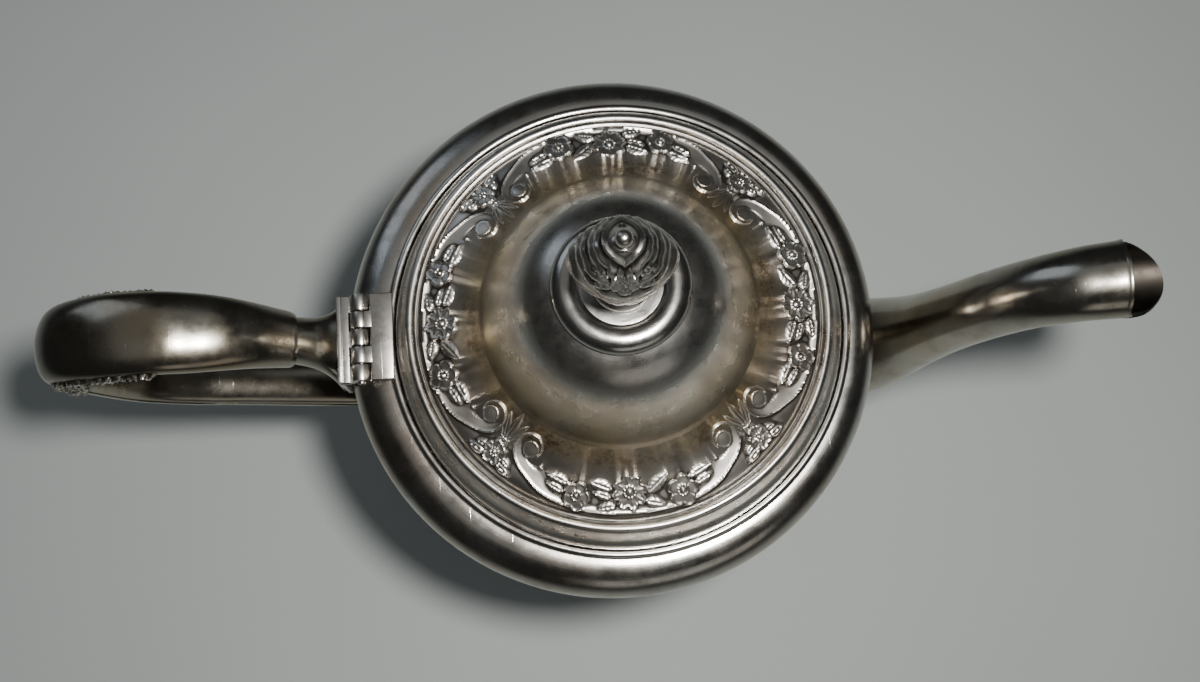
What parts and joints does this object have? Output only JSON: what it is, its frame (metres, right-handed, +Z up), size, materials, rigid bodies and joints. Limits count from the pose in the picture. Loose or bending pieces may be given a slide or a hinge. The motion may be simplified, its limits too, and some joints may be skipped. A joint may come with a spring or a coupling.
{
  "type": "coffee pot",
  "caption": "Silver coffee pot with a round shouldered body on a raised foot, swan-neck spout, hollow loop handle and a hinged domed lid with a flower band and finial.",
  "frame": {"origin": "on the table, mid-length and mid-width of the pot's bounding box; the body's axis is 4.5 mm and the lid's 6.2 mm toward the spout", "axes": "+Z up, +X toward the spout, handle on the -X side, the length along X"},
  "size_m": [0.2676, 0.1318, 0.2495],
  "materials": {
    "silver_body": "polished silver with dark tarnish and fine round scratches",
    "silver_lid": "chased silver, brown tarnish in the recesses",
    "silver_trim": "polished silver wire and spun trim",
    "silver_spout": "tarnished silver",
    "silver_cast": "cast silver with dark patina in the recesses",
    "silver_handle": "cast silver, rubbed bright on the grip",
    "silver_hinge": "worn silver",
    "pin_metal": "dark worn pin",
    "fastener_steel": "plain turned steel"
  },
  "bodies": {
    "pot": {"body_shell": "silver_body", "shoulder_ring": "silver_body", "mouth_collar": "silver_trim", "waist_collar": "silver_trim", "foot_dome": "silver_body", "foot_rim": "silver_trim", "spout": "silver_spout", "spout_mount": "silver_cast", "handle_neck": "silver_handle", "handle_grip": "silver_handle", "handle_tail": "silver_handle", "hinge_body_leaf": "silver_hinge", "hinge_pin": "pin_metal"},
    "lid": {"hinge_lid_leaf": "silver_hinge", "lid_shell": "silver_lid", "lid_rim_wire": "silver_trim", "lid_bezel": "silver_trim", "lid_cushion": "silver_trim", "finial": "silver_cast", "finial_stud": "fastener_steel", "finial_washer": "fastener_steel", "finial_nut": "fastener_steel"}
  },
  "joints": [
    {"name": "lid_hinge", "type": "hinge", "parent": "pot", "child": "lid", "pos_m": [-0.057, 0, 0.1668], "axis": [0, -1, 0], "range_deg": [0, 95]}
  ]
}
